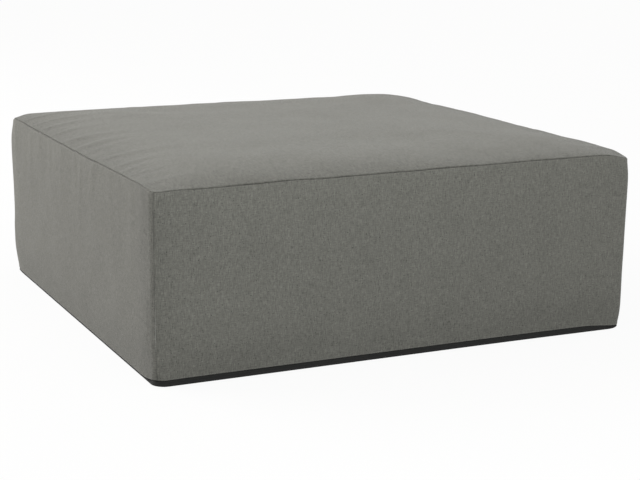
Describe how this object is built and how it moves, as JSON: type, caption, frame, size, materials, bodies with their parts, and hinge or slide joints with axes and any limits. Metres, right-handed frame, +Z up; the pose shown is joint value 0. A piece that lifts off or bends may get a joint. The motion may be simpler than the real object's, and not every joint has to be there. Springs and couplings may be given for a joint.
{
  "type": "outdoor ottoman",
  "caption": "Square low outdoor ottoman: foam block with a gently crowned top, sewn woven cover with a back zip, and a black non-slip base.",
  "frame": {"origin": "on the floor under the middle of the block", "axes": "+Z up, -Y towards the front, +Y out of the back, where the zip runs along X"},
  "size_m": [1.0056, 1.0075, 0.38],
  "materials": {
    "outdoor_fabric": "matte",
    "base_cloth": "matte",
    "liner_cloth": "satin",
    "wadding": "matte",
    "comfort_foam": "matte",
    "core_foam": "matte",
    "zip_tape": "matte",
    "zip_nylon": "satin",
    "zip_metal": "satin"
  },
  "bodies": {
    "ottoman": {"top_panel": "outdoor_fabric", "front_panel": "outdoor_fabric", "right_panel": "outdoor_fabric", "left_panel": "outdoor_fabric", "back_panel_upper": "outdoor_fabric", "back_panel_lower": "outdoor_fabric", "base_border": "base_cloth", "base_panel": "base_cloth", "liner_shell": "liner_cloth", "liner_base": "liner_cloth", "wadding_wrap": "wadding", "comfort_foam": "comfort_foam", "core_foam_upper": "core_foam", "core_foam_lower": "core_foam", "zip_tape_upper": "zip_tape", "zip_tape_lower": "zip_tape", "zip_coil_upper": "zip_nylon", "zip_coil_lower": "zip_nylon", "zip_stop_right": "zip_metal", "zip_stop_left": "zip_metal"},
    "slider": {"zip_slider": "zip_metal"},
    "pull": {"zip_pull": "zip_metal"}
  },
  "joints": [
    {"name": "zip_slide", "type": "slide", "parent": "ottoman", "child": "slider", "axis": [-1, 0, 0], "range_m": [0, 0.878]},
    {"name": "pull_swing", "type": "hinge", "parent": "slider", "child": "pull", "pos_m": [0.439, 0.5024, 0.085], "axis": [0, 0, -1], "range_deg": [0, 180]}
  ]
}
